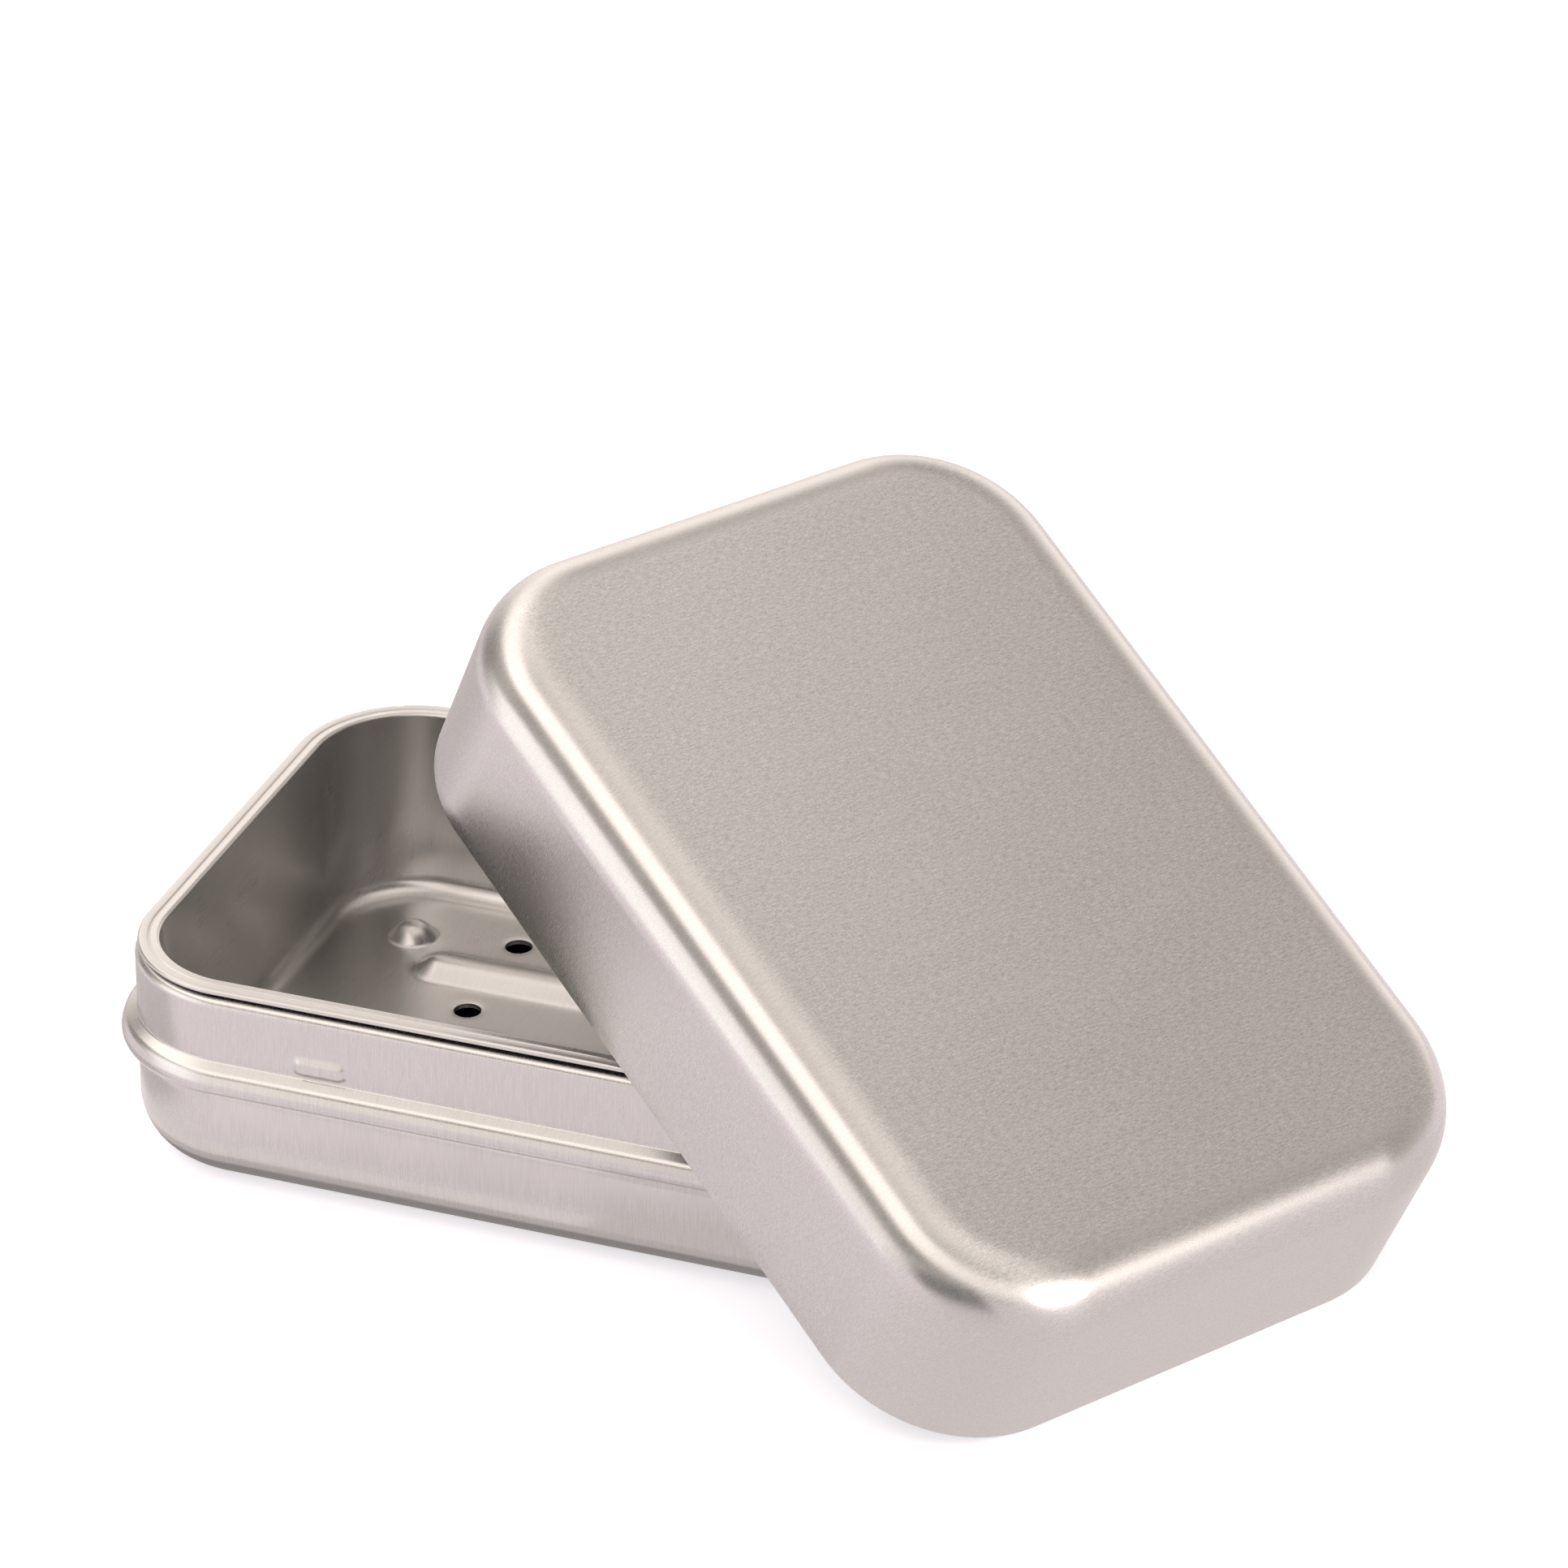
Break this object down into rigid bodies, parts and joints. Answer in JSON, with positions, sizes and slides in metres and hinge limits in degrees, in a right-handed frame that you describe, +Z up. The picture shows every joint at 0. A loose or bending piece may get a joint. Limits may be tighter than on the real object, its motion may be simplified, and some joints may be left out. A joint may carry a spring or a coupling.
{
  "type": "soap box",
  "caption": "Pressed aluminium soap box: beaded base, lift-out drain tray with ribs and drain holes, and a deep lid leaning on the rims.",
  "frame": {"origin": "centre of the flat underside of the base", "axes": "+Z up, +X along the length of the base towards the end that the lid leans over, +Y towards the back long side"},
  "size_m": [0.1384, 0.0999, 0.0643],
  "materials": {
    "base_aluminium": "satin, finely brushed across the width",
    "tray_aluminium": "satin, finely brushed across the width",
    "lid_aluminium": "satin, finely brushed across the width"
  },
  "bodies": {
    "base": {"base": "base_aluminium"},
    "drain_tray": {"drain_tray": "tray_aluminium"},
    "lid": {"lid": "lid_aluminium"}
  },
  "joints": [
    {"name": "lid_lift", "type": "slide", "parent": "base", "child": "lid", "axis": [0, 0, 1], "range_m": [0, 0.06]},
    {"name": "tray_lift", "type": "slide", "parent": "base", "child": "drain_tray", "axis": [0, 0, 1], "range_m": [0, 0.03]}
  ],
  "couplings": [
    {"joint": "tray_lift", "follows": "lid_lift", "ratio": 0.5}
  ]
}
